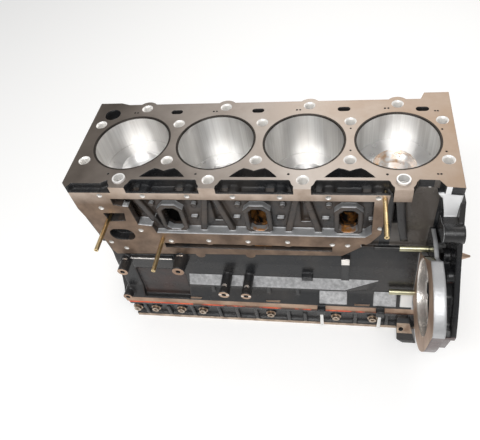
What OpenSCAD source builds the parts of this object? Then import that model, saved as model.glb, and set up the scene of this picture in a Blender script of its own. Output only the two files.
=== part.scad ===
// Four-cylinder diesel short block: block, bedplate and running gear.
// Millimetres. Origin on the crank axis at the rear face of the crank flange.
// +X points out of the flywheel end, +Z up the bores, +Y away from the side cover.

/* [Cylinders] */
// Bore diameter inside the liner
bore_d = 115; // [113:0.5:117]
// Distance from one bore centre to the next
bore_pitch = 133; // [131:0.5:137]
// Piston stroke
stroke = 110; // [106:1:112]
// Liner wall thickness
liner_wall = 2.5; // [2:0.1:3]
// Crank angle of cylinders 1 and 4 past top dead centre
crank_deg = 75; // [68:1:80]

/* [Block] */
// Height of the deck above the crank axis
deck_h = 292; // [289:1:298]
// Distance from bore 4 to the rear face
rear_len = 86; // [84:1:92]
// Distance from bore 1 to the front face
front_len = 83; // [80:1:90]
// Distance of the side cover face from the bore plane
cover_face = 97; // [95:1:100]
// Half width of the block across the pan rail
rail_half = 116; // [114:1:122]
// Thickness of the deck slab
slab_t = 14; // [12:1:18]
// Radius of the starter opening in the ear
starter_r = 57; // [52:1:60]

/* [Bedplate] */
// Height of the bedplate
bedplate_h = 58; // [57:1:64]
// How far the sealant bead stands out of the joint
bead_proud = 0.8; // [0.4:0.1:1.5]

/* [Fasteners] */
// Diameter of the head bolt holes in the deck
head_hole_d = 14; // [12:0.5:16]
// Diameter of the main bolts
main_bolt_d = 14; // [12:1:16]
// Diameter of the brass-coloured cover studs
stud_d = 6.5; // [5:0.5:8]
// Diameter of the threaded holes round the side cover
cover_hole_d = 8; // [6:0.5:9]

/* [Hidden] */
$fn = 64;
e = 1;
cyl_n = 4;
rear_face_x = -14;
comp_h = 62;
crank_r = stroke / 2;
rod_len = deck_h - crank_r - comp_h;
deck_top = deck_h;

// block shape
bank_front = 80;
bank_back = 86;
bank_rear_x = -20;
bank_foot_z = deck_h - 152;
cover_floor = 80;
rail_in = 92;
bay_half = rail_half - 15;
liner_len = 172;
bay_top_z = deck_h - liner_len - 2;
main_w = 28;
ear_x0 = -58;
ear_x1 = -42;
web_face_x = ear_x0 + 8;
jacket_top = deck_h - 25;
jacket_foot = deck_h - 142;
jacket_front = 73;
jacket_back = 78;
barrel_r = bore_d / 2 + 10;
lobe_shift = 3.5;
lobe_y = 80;
lobe_r = 17;
neck_w = 24;
inner_row_y = 41;
column_r = 13;
head_hole_depth = 90;
head_chamfer_r = 9;
dowel_ring_r = 9.5;
dowel_ring_depth = 8;
dowel_ring_proud = 3;
starter_y = -159;
starter_z = deck_h - 162;
pinion_r = 36;
pinion_y = -143;
pinion_z = starter_z - 16;
gallery_y = 100;
gallery_z = 95;
gallery_r = 7;
core_z = deck_h - 87;
core_r = 22;
flange_plate_t = 7;

// bearings and crank
journal_r = 38;
main_shell_t = 2.5;
tunnel_r = journal_r + main_shell_t;
main_shell_len = 22;
pin_r = 29;
pin_len = 42;
web_t = 28;
rod_shell_t = 2;
big_bore_r = pin_r + rod_shell_t;
oil_gap = 0.05;
fit_gap = 0.1;
side_gap = 0.4;
flange_r = 46;
flange_t = 13.5;
flange_pcd = 68;
flange_holes = 8;
counter_r = 70;
counter_half_deg = 36;
nose_r = 22;
nose_end_x = -625;
seal_r = 54;
front_seal_r = 30;

// liners, pistons and rods
liner_or = bore_d / 2 + liner_wall;
liner_lip_r = liner_or + 0.9;
liner_lip_t = 5;
piston_r = bore_d / 2 - 0.2;
piston_h = 100;
bowl_r = 32;
bowl_depth = 18;
ring_r = bore_d / 2 - 0.05;
ring_inner_r = 53.6;
groove_r = 53;
ring_tops = [8, 17, 26];
ring_hs = [3, 2.5, 4];
gudgeon_r = 19;
gudgeon_half = 42;
circlip_t = 1.8;
slot_half = 20.5;
boss_end = 50;
small_end_r = 28;
small_end_w = 38;
big_end_r = 39.5;
big_end_half = 42;
big_end_step = 18;
rod_bolt_y = 35.3;
rod_bolt_r = 4;
shank_t = 20;

// side cover face, depths are below the deck
rail_hole_d = 17;
rail_pitch = bore_pitch / 2;
port_depth = 77;
port_w = 27;
port_h = 50;
collar_w = 41;
collar_h = 64;
collar_face = 90;

function bore_x(i) = rear_face_x - rear_len - (cyl_n - i) * bore_pitch;
function main_x(k) = bore_x(1) + (k - 1.5) * bore_pitch;
function bolt_x(k) = main_x(k) + (k == 1 ? 2 : k == 5 ? -2 : 0);
function lobe_x(i) = bore_x(i) + lobe_shift;
function throw_deg(i) = (i == 1 || i == 4) ? crank_deg : crank_deg + 180;
function pin_y(i) = crank_r * sin(throw_deg(i));
function pin_z(i) = crank_r * cos(throw_deg(i));
function wrist_z(i) = pin_z(i) + sqrt(rod_len * rod_len - pin_y(i) * pin_y(i));
function rod_tilt(i) = asin(pin_y(i) / rod_len);
function rail_x(j) = bore_x(4) - 28 - j * rail_pitch;
function down(d) = deck_h - d;
// an open run of points with its corners cut n times, its two ends kept
function smooth_run(p, n) = n == 0 ? p : smooth_run([
    p[0],
    for (i = [0 : len(p) - 2]) each [0.75 * p[i] + 0.25 * p[i + 1], 0.25 * p[i] + 0.75 * p[i + 1]],
    p[len(p) - 1]
], n - 1);

b1 = bore_x(1);
b2 = bore_x(2);
b3 = bore_x(3);
b4 = bore_x(4);
front_x = b1 - front_len;

// profile in Y and Z, drawn along X
module along_x(x0, x1) {
    translate([x0, 0, 0]) rotate([90, 0, 90]) linear_extrude(height = x1 - x0) children();
}

// profile in X and Z, drawn from y0 towards the camera side to y1
module along_y(y0, y1) {
    translate([0, y0, 0]) rotate([90, 0, 0]) linear_extrude(height = y0 - y1) children();
}

module along_z(z0, z1) {
    translate([0, 0, z0]) linear_extrude(height = z1 - z0) children();
}

module bar_x(x0, x1, y, z, r) {
    translate([x0, y, z]) rotate([0, 90, 0]) cylinder(r = r, h = x1 - x0);
}

module bar_y(y0, y1, x, z, r) {
    translate([x, y0, z]) rotate([90, 0, 0]) cylinder(r = r, h = y0 - y1);
}

// bar along Y between two distances from the bore plane, on either side
module side_bar(side, near, far, x, z, r) {
    bar_y(side > 0 ? far : -near, side > 0 ? near : -far, x, z, r);
}

module bar_z(z0, z1, x, y, r) {
    translate([x, y, z0]) cylinder(r = r, h = z1 - z0);
}

module box(x0, x1, y0, y1, z0, z1) {
    translate([x0, y0, z0]) cube([x1 - x0, y1 - y0, z1 - z0]);
}

// slot with round ends, centred at x and y
module oval_2d(w, h) {
    square([w - h, h], center = true);
    translate([(w - h) / 2, 0]) circle(d = h);
    translate([-(w - h) / 2, 0]) circle(d = h);
}

module ring_x(x0, x1, y, z, ro, ri) {
    difference() {
        bar_x(x0, x1, y, z, ro);
        bar_x(x0 - e, x1 + e, y, z, ri);
    }
}

// cylinder block
module deck_2d() {
    polygon([
        [front_x, -88], [front_x + 8, -cover_face], [front_x + 14, -88],
        [b1 - 24, -88], [b1 - 12, -bank_front], [b4 + 14, -bank_front],
        [b4 + 22, -78], [b4 + 49, -79], [b4 + 57, -91], [bank_rear_x, -93], [bank_rear_x, 106], [-56, 106], [-62, 91], [b1 - 31, 91], [b1 - 46, 96], [front_x, 96]
    ]);
    for (i = [1 : cyl_n]) {
        translate([lobe_x(i), lobe_y]) circle(r = lobe_r);
        translate([lobe_x(i), -lobe_y]) circle(r = lobe_r);
        translate([lobe_x(i), 0])
            polygon([
                [-neck_w / 2 - 10, -bank_front + 4], [neck_w / 2 + 10, -bank_front + 4],
                [neck_w / 2, -lobe_y - 9], [neck_w / 2, -cover_face],
                [-neck_w / 2, -cover_face], [-neck_w / 2, -lobe_y - 9]
            ]);
    }
}

module cover_outline_2d() {
    polygon([
        [b1 - 75, down(11)], [b1 - 75, down(48)], [b1 - 68, down(78)], [b1 - 66, down(106)],
        [b1 - 61, down(128)], [b1 - 58, down(155)], [b1 - 54, down(164)], [b1 + 45, down(160)],
        [b4 - 75, down(152)], [b4 - 34, down(117)], [b4 - 20, down(95)], [b4 - 17, down(60)],
        [b4 - 13, down(11)]
    ]);
    for (p = [[b1 + 94, down(160)], [b1 + 178, down(157)]])
        translate(p) circle(r = 8);
    for (i = [1 : cyl_n])
        translate([lobe_x(i) - neck_w / 2, down(24)]) square([neck_w, 24]);
}

module cover_cavity_2d() {
    polygon([
        [b1 - 14, down(24)], [b1 - 14, down(38)], [b1 + 8, down(42)],
        [b1 + 10, down(84)], [b1 + 32, down(87)], [b1 + 35, down(104)],
        [b4 - 42, down(104)], [b4 - 33, down(95)], [b4 - 33, down(24)]
    ]);
}

// pocket behind the top rail between two lobes, with the bolt lumps left in
module rail_pocket(i) {
    x0 = lobe_x(i) + neck_w / 2 + 3;
    x1 = lobe_x(i + 1) - neck_w / 2 - 3;
    mid = main_x(i + 1);
    difference() {
        box(x0, x1, -rail_in, -bank_front + 0.5, down(24), down(0) + e);
        for (j = [0 : 6])
            bar_y(-bank_front + e, -rail_in - e, rail_x(j), down(20), 9.5);
        box(mid - 17, mid + 17, -rail_in - e, -bank_front + e, down(25), down(15));
        for (i = [1 : cyl_n])
            bar_z(down(25), down(-2), lobe_x(i), -lobe_y, lobe_r);
    }
}

module water_port_2d(w, h) {
    c = w / 4;
    polygon([
        [-w / 2, -h / 2 + c], [-w / 2 + c, -h / 2], [w / 2 - c, -h / 2], [w / 2, -h / 2 + c],
        [w / 2, h / 2 - c], [w / 2 - c, h / 2], [-w / 2 + c, h / 2], [-w / 2, h / 2 - c]
    ]);
}

// cast detail standing in the side cavity
module cavity_detail() {
    for (k = [2 : 4])
        translate([main_x(k), 0, down(port_depth)])
            along_y(-cover_floor + e, -collar_face) water_port_2d(collar_w, collar_h);
    for (j = [0 : 5]) {
        bar_y(-cover_floor + e, -86, rail_x(j), down(50), 4.5);
        box(rail_x(j) - 10, rail_x(j) + 0, -86, -cover_floor + e, down(81), down(76));
    }
    for (x = [b2, b3])
        for (side = [-1, 1])
            along_y(-cover_floor + e, -88)
                polygon([
                    [x + side * 1, down(23)], [x + side * 10, down(23)],
                    [x + side * 28, down(105)], [x + side * 18, down(105)]
                ]);
    along_y(-cover_floor + e, -87)
        polygon([
            [b1 + 10, down(30)], [b1 + 20, down(23)],
            [b1 + 46, down(105)], [b1 + 36, down(105)]
        ]);
}

module side_flange() {
    difference() {
        along_y(-cover_floor + 2, -cover_face) cover_outline_2d();
        along_y(-cover_floor, -cover_face - e) cover_cavity_2d();
        for (i = [1 : cyl_n - 1])
            rail_pocket(i);
        side_channel();
        left_ports();
    }
    intersection() {
        cavity_detail();
        along_y(-cover_floor + 2 * e, -cover_face)
            polygon([
                [b1 - 14, down(23)], [b1 - 14, down(38)], [b1 + 8, down(42)],
                [b1 + 10, down(84)], [b1 + 32, down(87)], [b1 + 35, down(105)],
                [b4 - 32, down(105)], [b4 - 32, down(23)]
            ]);
    }
}

channel_x0 = b1 + 40;
channel_x1 = b4 - 90;
channel_holes = [-446, -383, -320, -258];
module side_channel() {
    difference() {
        box(channel_x0, channel_x1, -cover_face - e, -cover_face + 12, down(142), down(130));
        for (x = channel_holes)
            bar_y(-bank_front, -cover_face - 2, x, down(123), 9);
    }
}

module left_ports() {
    along_y(-cover_floor - 2, -cover_face - e) {
        polygon([[b1 - 38, down(57)], [b1 - 3, down(56)], [b1 - 7, down(75)], [b1 - 34, down(77)]]);
        translate([b1 - 25, down(110)]) oval_2d(42, 28);
    }
}

// threaded holes of the side cover face below the top rail
lower_holes = [
    [-446, 124], [-383, 121], [-320, 121], [-258, 120], [-190, 124], [-167, 125], [-144, 124],
    [-122, 82], [-489, 98], [-535, 45], [-551, 131], [-530, 147]
];
brass_studs = [[-535, 74, 58], [-459, 120, 61], [-119.5, 19, 64]];
stud_depth = 14;

crankcase_wall = [
    [-rail_half, 0], [-rail_half, 14], [-104, 40], [-97, 110], [-93, 128], [-86, 150],
    [86, 150], [92, 146], [97, 110], [104, 40], [rail_half, 14], [rail_half, 0]
];
bay_2d = [
    [-bay_half, -e], [-bay_half, 20], [-95.5, 40], [-88, 105], [-82, bay_top_z],
    [82, bay_top_z], [88, 105], [95.5, 40], [bay_half, 20], [bay_half, -e]
];
front_plate_2d = [
    [-104, 0], [-93, 14], [-82, 37], [-73, 67], [-70, 99],
    [-72, 129], [-78, 160], [-82, 195], [-86, 236], [-88, deck_top], [96, deck_top], [97, 110], [104, 40], [rail_half, 14], [rail_half, 0]
];
ear_rim_2d = [
    [-104, 45], [-165, 30], [-204, 52], [-220, 76], [-233, 106],
    [-241, 157], [-245, 177], [-229, 194], [-208, 207], [-184, 215], [-154, 215]
];
ear_2d = concat(
    [[-88, 84], [-92, 60]], smooth_run(ear_rim_2d, 2),
    [[-128, 184], [-108, 163], [-92, 150], [-88, 128], [-88, 100]]
);
ear_web_2d = [
    [-60, 60], [-58, 180], [-88, 202], [-112, 206], [-128, 205], [-140, 203], [-154, 214], [-154, 60]
];
rear_plate_2d = [
    [-112, 0], [-112, 12], [-150, 20], [-190, 31], [-200, 79], [-211, 100], [-212, 112],
    [-202, 128], [-184, 152], [-155, 182], [-139, 200], [-128, 214], [-104, 244],
    [-91, down(30)], [100, down(30)], [128, 244], [132, 214], [138, 120], [142, 40], [rail_half, 0]
];
rear_fill_2d = [
    [-94, 14], [-112, 12], [-150, 20], [-190, 31], [-200, 79], [-211, 100], [-212, 110],
    [-202, 116], [-191, 92], [-188, 118], [-170, 150], [-120, 163], [-94, 150]
];
rear_core_2d = [
    [-rail_half, 0], [-rail_half, 14], [-104, 40], [-98, 110], [-94, 150], [-bank_front, 160],
    [-bank_front, down(30)], [100, down(30)], [128, 244], [132, 214], [138, 120], [142, 40],
    [rail_half, 0]
];

module block_body() {
    along_z(deck_top - slab_t, deck_top) deck_2d();
    box(front_x + 2, bank_rear_x, -bank_front, bank_back, bank_foot_z, deck_top - slab_t + e);
    along_x(front_x + 20, ear_x1 + e) polygon(crankcase_wall);
    along_x(front_x, front_x + 22) polygon(front_plate_2d);
    box(front_x + 8, front_x + 21, -rail_half, -70, 0, 14);
    along_x(ear_x1, rear_face_x) polygon(rear_core_2d);
    along_x(rear_face_x - flange_plate_t, rear_face_x) polygon(rear_plate_2d);
    along_x(ear_x0, ear_x1) polygon(ear_2d);
    along_x(web_face_x, ear_x1 - 2) polygon(ear_web_2d);
    along_x(ear_x1 - e, rear_face_x) polygon(rear_fill_2d);
    rear_bosses();
    side_flange();
    right_end();
    lower_side();
    back_side();
    for (i = [1 : cyl_n])
        bar_z(bay_top_z + e, down(40), bore_x(i), 0, barrel_r - 2);
}

// bosses on the inner face of the rear flange
module rear_bosses() {
    for (p = [[-dowel_y, dowel_z, 11], [-146, 168, 10], [-190, 108, 10]])
        bar_x(rear_face_x - 16, rear_face_x, p[0], p[1], p[2]);
    bar_x(ear_x1, rear_face_x, -housing_y, housing_top_z, 13);
    along_x(ear_x1, rear_face_x)
        polygon([
            [-housing_y, housing_top_z - 11], [-housing_y, housing_top_z + 9],
            [-bank_front, housing_top_z + 2], [-bank_front, housing_top_z - 34]
        ]);
}

// column, scoop, panel and bosses between the side cover and the rear face
module right_end() {
    along_y(-bank_front + e, -cover_face + 1)
        polygon([
            [b4 - 7, down(8)], [b4 + 5, down(8)], [b4 + 15, down(82)],
            [b4 + 20, down(112)], [b4 + 9, down(112)], [b4 + 3, down(82)]
        ]);
    along_y(-bank_front + e, -91)
        polygon([
            [-52, down(13)], [-50, down(16)], [-45, down(22)], [-40, down(46)], [-34, down(82)],
            [bank_rear_x, down(82)], [bank_rear_x, down(13)]
        ]);
}

rail_box_2d = [[-95, 2], [-rail_half + 1, 2], [-rail_half + 1, 20], [-104, 48], [-95, 48]];
wall_bosses = [[-541, 112, 124, 9], [-562, 25, 122, 8.5], [-369, 76, 139, 9], [-331, 76, 140, 8.5]];

// ledge, ribs, boxes and bosses on the crankcase wall
module lower_side() {
    intersection() {
        along_x(b1 + 62, b4 - 16) polygon([[-90, 84], [-cover_face, 82], [-112, 62], [-112, 58], [-100, 50], [-90, 50]]);
        along_z(40, 90)
            polygon([
                [b1 + 62, -88], [b1 + 62, -112], [b4 - 70, -112], [b4 - 16, -101], [b4 - 16, -88]
            ]);
    }
    box(-176, -163, -101.5, -90, 34, 136);
    for (x = [[-212, -166], [-121, -84], [-77, ear_x0 + e]])
        along_x(x[0], x[1]) polygon(rail_box_2d);
    box(-84, -76, -112, -95, 6, 22);
    for (x = rail_stud_xs)
        box(x - 7, x + 7, -rail_stud_y - 6, -rail_half + 6, 1, 15);
    for (p = wall_bosses)
        bar_y(-72, -p[2], p[0], p[1], p[3]);
    translate([b1 + 59, -86, 122]) rotate([90, 0, 0]) cylinder(r1 = 14, r2 = 10, h = 40);
    along_x(-334, -328) polygon([[-100, 76], [-138, 76], [-136, 68], [-104, 44]]);
    for (x = [-400, -300, -250])
        box(x - 4, x + 4, -108, -95, 8, 62);
    for (x = [-437, -294, -140])
        along_z(e, 20)
            polygon([[x - 20, -96], [x - 12, -rail_half], [x + 12, -rail_half], [x + 20, -96]]);
    along_x(-531, -456) polygon([[-90, 93], [-102.5, 94], [-101.5, 123], [-90, 124]]);
    box(-240, -222, -110, -92, 84, 92);
}

// far side: gallery boss, ribs and a mount pad
module back_side() {
    bar_x(front_x + 2, rear_face_x - 2, gallery_y, gallery_z, 13);
    for (i = [1 : cyl_n])
        box(lobe_x(i) - 9, lobe_x(i) + 9, bank_back - 2, bank_back + 8, down(150), down(10));
    for (k = [2 : 4])
        box(main_x(k) - 5, main_x(k) + 5, 84, 108, 20, down(170));
    box(main_x(3) - 45, main_x(3) + 45, 84, 110, 28, 78);
}

module deck_openings() {
    for (i = [1 : cyl_n]) {
        bar_z(down(liner_len) - 4, deck_top + e, bore_x(i), 0, liner_or + fit_gap / 2);
        bar_z(deck_top - liner_lip_t, deck_top + e, bore_x(i), 0, liner_lip_r + fit_gap / 2);
        for (side = [-1, 1])
            head_hole(lobe_x(i), side * lobe_y);
        for (s = [-5, 5])
            bar_z(down(12), deck_top + e, bore_x(i) - 13 + s / 2, 70, 1.6);
        bar_z(down(12), deck_top + e, bore_x(i) - 17, -69, 1.8);
    }
    for (k = [1 : cyl_n + 1])
        for (side = [-1, 1])
            head_hole(bolt_x(k), side * inner_row_y);
    for (i = [1, 4])
        bar_z(deck_top - dowel_ring_depth, deck_top + e, lobe_x(i), -lobe_y, dowel_ring_r + fit_gap / 2);
    for (k = [2 : 5])
        translate([main_x(k) + (k == 5 ? -28 : -10), k == 5 ? 67 : 70, down(32)])
            linear_extrude(height = 32 + e) oval_2d(19, 10);
    bar_z(down(18), deck_top + e, b1 - 53, 66, 13);
    bar_z(down(32), deck_top + e, b1 - 53, 66, 6);
    for (p = [[-40, 62], [-44, 62], [-166, 25], [-166, -22], [-38, 21], [-37, -25], [-48, -68], [-52, -68]])
        bar_z(down(12), deck_top + e, p[0], p[1], 1.5);
    for (k = [2 : 4])
        translate([main_x(k), 0, down(18)])
            linear_extrude(height = 18 + e)
                polygon([
                    [-34, -75], [34, -75], [31, -71], [21, -61], [15, -57], [8, -59], [0, -62.5],
                    [-8, -59], [-15, -57], [-21, -61], [-31, -71]
                ]);
}

module head_hole(x, y) {
    translate([x, y, deck_top - head_hole_depth]) cylinder(d = head_hole_d, h = head_hole_depth + e);
    translate([x, y, deck_top - 2])
        cylinder(r1 = head_hole_d / 2, r2 = head_chamfer_r + 1, h = 3);
}

module water_jacket() {
    difference() {
        box(front_x + 13, bank_rear_x - 9, -jacket_front, jacket_back, jacket_foot, jacket_top);
        for (i = [1 : cyl_n]) {
            bar_z(jacket_foot - e, jacket_top + e, bore_x(i), 0, barrel_r);
            bar_z(down(head_hole_depth + 8), jacket_top + e, lobe_x(i), -lobe_y, lobe_r - 3);
            bar_z(down(head_hole_depth + 8), jacket_top + e, lobe_x(i), lobe_y, lobe_r - 3);
        }
        for (k = [1 : cyl_n + 1])
            for (side = [-1, 1])
                bar_z(jacket_foot - e, jacket_top + e, bolt_x(k), side * inner_row_y, column_r);
    }
    for (k = [2 : 4])
        translate([main_x(k), 0, down(port_depth)])
            along_y(-jacket_front + e, -collar_face - e) water_port_2d(port_w, port_h);
    for (k = [2 : 4])
        bar_y(bank_back + e, jacket_back - e, main_x(k), core_z, core_r - 1);
    for (k = [2 : 4])
        bar_y(bank_back + e, bank_back - 4, main_x(k), core_z, core_r);
}

module bolt_holes() {
    for (j = [0 : 6])
        bar_y(-cover_face + 20, -cover_face - e, rail_x(j), down(rail_hole_d), cover_hole_d / 2);
    for (p = lower_holes)
        bar_y(-cover_face + 11, -cover_face - e, p[0], down(p[1]), cover_hole_d / 2);
    for (p = brass_studs)
        bar_y(-cover_face + stud_depth + e, -cover_face - e, p[0], down(p[1]), stud_d / 2 + fit_gap / 2);
    for (k = [1 : cyl_n + 1])
        for (side = [-1, 1])
            bar_z(-e, 66, main_x(k), side * main_bolt_y, main_bolt_d / 2 + fit_gap);
    for (p = concat(wall_bosses, [[b1 + 59, 122, 126]]))
        bar_y(-p[2] + 18, -p[2] - e, p[0], p[1], 4);
    for (x = rail_bolt_xs)
        for (side = [-1, 1])
            bar_z(-e, 14, x, side * rail_bolt_y, rail_bolt_d / 2 + fit_gap);
    for (x = rail_stud_xs)
        bar_z(-e, 12, x, -rail_stud_y, rail_stud_r + fit_gap / 2);
    for (p = front_holes)
        bar_x(front_x - e, front_x + 9, p[0], p[1], 4.25);
    for (p = rear_holes)
        bar_x(rear_face_x - rear_hole_depth, rear_face_x + e, p[0], p[1], 6);
    bar_x(ear_x0 - e, ear_x0 + starter_stud_grip, starter_stud_at[0], starter_stud_at[1], starter_stud_r + fit_gap / 2);
    bar_x(ear_x0 - e, web_face_x + wire_stud_grip, wire_stud_at[0], wire_stud_at[1], wire_stud_r + fit_gap / 2);
    for (p = retainer_holes)
        if (p[1] > 0)
            bar_x(rear_face_x - 15, rear_face_x + e, p[0], p[1], retainer_bolt_r + fit_gap / 2);
    for (side = [-1, 1])
        bar_x(rear_face_x - dowel_grip, rear_face_x + e, side * dowel_y, dowel_z, dowel_r + fit_gap / 2);
    for (s = [-30, 30])
        for (z = [40, 66])
            bar_y(110 + e, 96, main_x(3) + s, z, 5);
}

main_bolt_y = 58;
rail_bolt_y = rail_half - 6;
rail_bolt_d = 6;
rail_bolt_xs = [-500, -409, -346, -240, -140];
rail_stud_xs = [-209, -109];
rail_stud_y = rail_half + 4.5;
rail_stud_r = 3.2;
front_holes = [
    [-78, 272], [-74, 215], [-68, 160], [-60, 95], [-80, 22], [-45, 278], [20, 278],
    [86, 270], [88, 215], [88, 160], [94, 60], [108, 20], [-60, 130], [60, 130]
];
rear_hole_depth = 13;
housing_y = 118;
housing_top_z = 228;
housing_foot_z = 30;
rear_holes = [
    [-housing_y, housing_top_z], [housing_y, housing_top_z], [-housing_y, housing_foot_z],
    [housing_y, housing_foot_z], [-146, 168], [-190, 108], [-182, 66], [128, 108], [-30, 248]
];
starter_stud_at = [-110, 60];
starter_stud_len = 40;
starter_stud_grip = 14;
starter_stud_r = 4.5;
wire_stud_at = [-100, 168];
wire_stud_r = 3;
wire_stud_len = 77;
wire_stud_grip = 7;
sleeve_len = 41;
dowel_y = 108;
dowel_z = 164;
dowel_r = 7;
dowel_grip = 13;
retainer_bolt_r = 3.3;
retainer_holes = [
    [-74, 74], [0, 76], [74, 74], [-76, 20], [76, 20], [-76, -30], [76, -30]
];

module cylinder_block() {
    color([0.12, 0.125, 0.13])
        difference() {
            block_body();
            deck_openings();
            water_jacket();
            for (i = [1 : cyl_n])
                along_x(main_x(i) + main_w / 2, main_x(i + 1) - main_w / 2) polygon(bay_2d);
            bar_x(front_x - e, rear_face_x + e, 0, 0, tunnel_r);
            bar_x(ear_x0 - e, ear_x1, starter_y, starter_z, starter_r);
            bar_x(ear_x1 - e, rear_face_x + e, pinion_y, pinion_z, pinion_r);
            bar_x(front_x - e, rear_face_x + e, gallery_y, gallery_z, gallery_r);
            bar_y(gallery_y + 14, gallery_y, main_x(2) + 30, gallery_z, 5);
            along_x(-533, -445) polygon([[-105, 16], [-99.5, 40], [-94, 94], [-125, 94], [-125, 16]]);
            bolt_holes();
        }
}

// bedplate
bed_foot = -bedplate_h;
bed_front_x = front_x + 12;
bead_w = 3;
bead_h = 2.4;
side_boss_xs = [-560, -524, -473, -431, -302, -184, -120];
bed_wall = rail_half - 8;
bed_2d = [
    [-rail_half, 0], [-rail_half, -9], [-bed_wall, -14], [-bed_wall, bed_foot + 12],
    [-rail_half + 2, bed_foot + 8], [-rail_half + 2, bed_foot], [rail_half - 2, bed_foot],
    [rail_half - 2, bed_foot + 8], [bed_wall, bed_foot + 12], [bed_wall, -14],
    [rail_half, -9], [rail_half, 0]
];
side_bolt_r = 4;
side_bolt_z = -24;

module bedplate() {
    color([0.1, 0.1, 0.11])
        difference() {
            union() {
                along_x(bed_front_x, rear_face_x) polygon(bed_2d);
                box(front_x, bed_front_x + e, -74, 74, bed_foot, 0);
                for (x = side_boss_xs)
                    for (side = [-1, 1])
                        side_bar(side, rail_half - 21, rail_half - 1, x, side_bolt_z, 9);
                for (x = [-545, -500, -452, -400, -366, -330, -270, -240, -150, -95])
                    box(x - 3, x + 3, -rail_half + 2, -rail_half + 16, bed_foot + e, -8);
                intersection() {
                    along_x(-82, -42) polygon([[-100, -4], [-123, -4], [-142, -48], [-142, bed_foot], [-100, bed_foot]]);
                    along_y(-99, -150)
                        polygon([[-80, -3], [-62, -3], [-44, bed_foot - e], [-66, bed_foot - e], [-78, -46]]);
                }
            }
            for (i = [1 : cyl_n])
                box(main_x(i) + main_w / 2, main_x(i + 1) - main_w / 2, -bay_half, bay_half, bed_foot - e, e);
            bar_x(front_x - e, rear_face_x + e, 0, 0, tunnel_r);
            for (k = [1 : cyl_n + 1])
                for (side = [-1, 1]) {
                    bar_z(bed_foot - e, e, main_x(k), side * main_bolt_y, main_bolt_d / 2 + fit_gap);
                    bar_z(bed_foot - e, bed_foot + 14, main_x(k), side * main_bolt_y, 12.5);
                }
            for (x = rail_bolt_xs)
                for (side = [-1, 1])
                    bar_z(-20, e, x, side * rail_bolt_y, rail_bolt_d / 2 + fit_gap);
            for (x = rail_bolt_xs)
                for (side = [-1, 1])
                    bar_z(-20, -9, x, side * rail_bolt_y, 5.8);
            for (x = side_boss_xs)
                for (side = [-1, 1])
                    side_bar(side, rail_half - 15, rail_half, x, side_bolt_z, side_bolt_r + fit_gap / 2);
            for (side = [-1, 1])
                box(bed_front_x - e, rear_face_x + e,
                    side > 0 ? rail_half - bead_w : -rail_half - e,
                    side > 0 ? rail_half + e : -rail_half + bead_w, -bead_h, e);
            for (p = retainer_holes)
                if (p[1] < 0)
                    bar_x(rear_face_x - 15, rear_face_x + e, p[0], p[1], retainer_bolt_r + fit_gap / 2);
            bar_y(-118, -149, -72, -26, 4);
        }
}

module bedplate_sealant() {
    color([0.75, 0.16, 0.08])
        for (side = [-1, 1])
            box(bed_front_x, rear_face_x - 4,
                side > 0 ? rail_half - bead_w : -rail_half - bead_proud,
                side > 0 ? rail_half + bead_proud : -rail_half + bead_w, -bead_h, 0);
}

// liners, pistons and rods
module liner(i) {
    color([0.6, 0.61, 0.63])
        translate([bore_x(i), 0, 0])
            difference() {
                union() {
                    bar_z(deck_top - liner_len, deck_top - 0.2, 0, 0, liner_or);
                    bar_z(deck_top - liner_lip_t, deck_top - 0.2, 0, 0, liner_lip_r);
                }
                bar_z(deck_top - liner_len - e, deck_top + e, 0, 0, bore_d / 2);
                translate([0, 0, deck_top - 1.2])
                    cylinder(r1 = bore_d / 2, r2 = bore_d / 2 + 1.6, h = 1.6);
            }
}

module bowl_profile() {
    rotate_extrude()
        polygon([
            [0, e], [bowl_r, e], [bowl_r, -2], [bowl_r + 2, -9], [bowl_r - 3, -bowl_depth + 2],
            [bowl_r - 9, -bowl_depth], [12, -bowl_depth + 2], [3, -9], [0, -8]
        ]);
}

module piston(i) {
    top = wrist_z(i) + comp_h;
    color([0.62, 0.62, 0.62])
        translate([bore_x(i), 0, top])
            difference() {
                bar_z(-piston_h, 0, 0, 0, piston_r);
                bowl_profile();
                for (n = [0 : 2])
                    difference() {
                        bar_z(-ring_tops[n] - ring_hs[n], -ring_tops[n], 0, 0, piston_r + e);
                        bar_z(-ring_tops[n] - ring_hs[n] - e, -ring_tops[n] + e, 0, 0, groove_r);
                    }
                box(-slot_half, slot_half, -46, 46, -piston_h - e, -31);
                for (side = [-1, 1])
                    translate([side * (boss_end + 10), 0, -70]) cube([20, 2 * piston_r, 62], center = true);
                bar_x(-boss_end - e, boss_end + e, 0, -comp_h, gudgeon_r + 0.02);
                for (side = [-1, 1])
                    bar_x(side * (gudgeon_half + 1.2) - 1, side * (gudgeon_half + 1.2) + 1, 0, -comp_h, gudgeon_r + 1.2);
            }
}

module piston_rings(i) {
    top = wrist_z(i) + comp_h;
    color([0.35, 0.36, 0.38])
        translate([bore_x(i), 0, top])
            for (n = [0 : 2])
                difference() {
                    bar_z(-ring_tops[n] - ring_hs[n] + 0.05, -ring_tops[n] - 0.05, 0, 0, ring_r);
                    bar_z(-ring_tops[n] - ring_hs[n] - e, -ring_tops[n] + e, 0, 0, ring_inner_r);
                    rotate([0, 0, 40 + 120 * n]) box(0, piston_r + 2, -0.4, 0.4, -40, 0);
                }
}

module gudgeon_pin(i) {
    color([0.7, 0.7, 0.72])
        ring_x(bore_x(i) - gudgeon_half, bore_x(i) + gudgeon_half, 0, wrist_z(i), gudgeon_r, 11);
}

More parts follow.
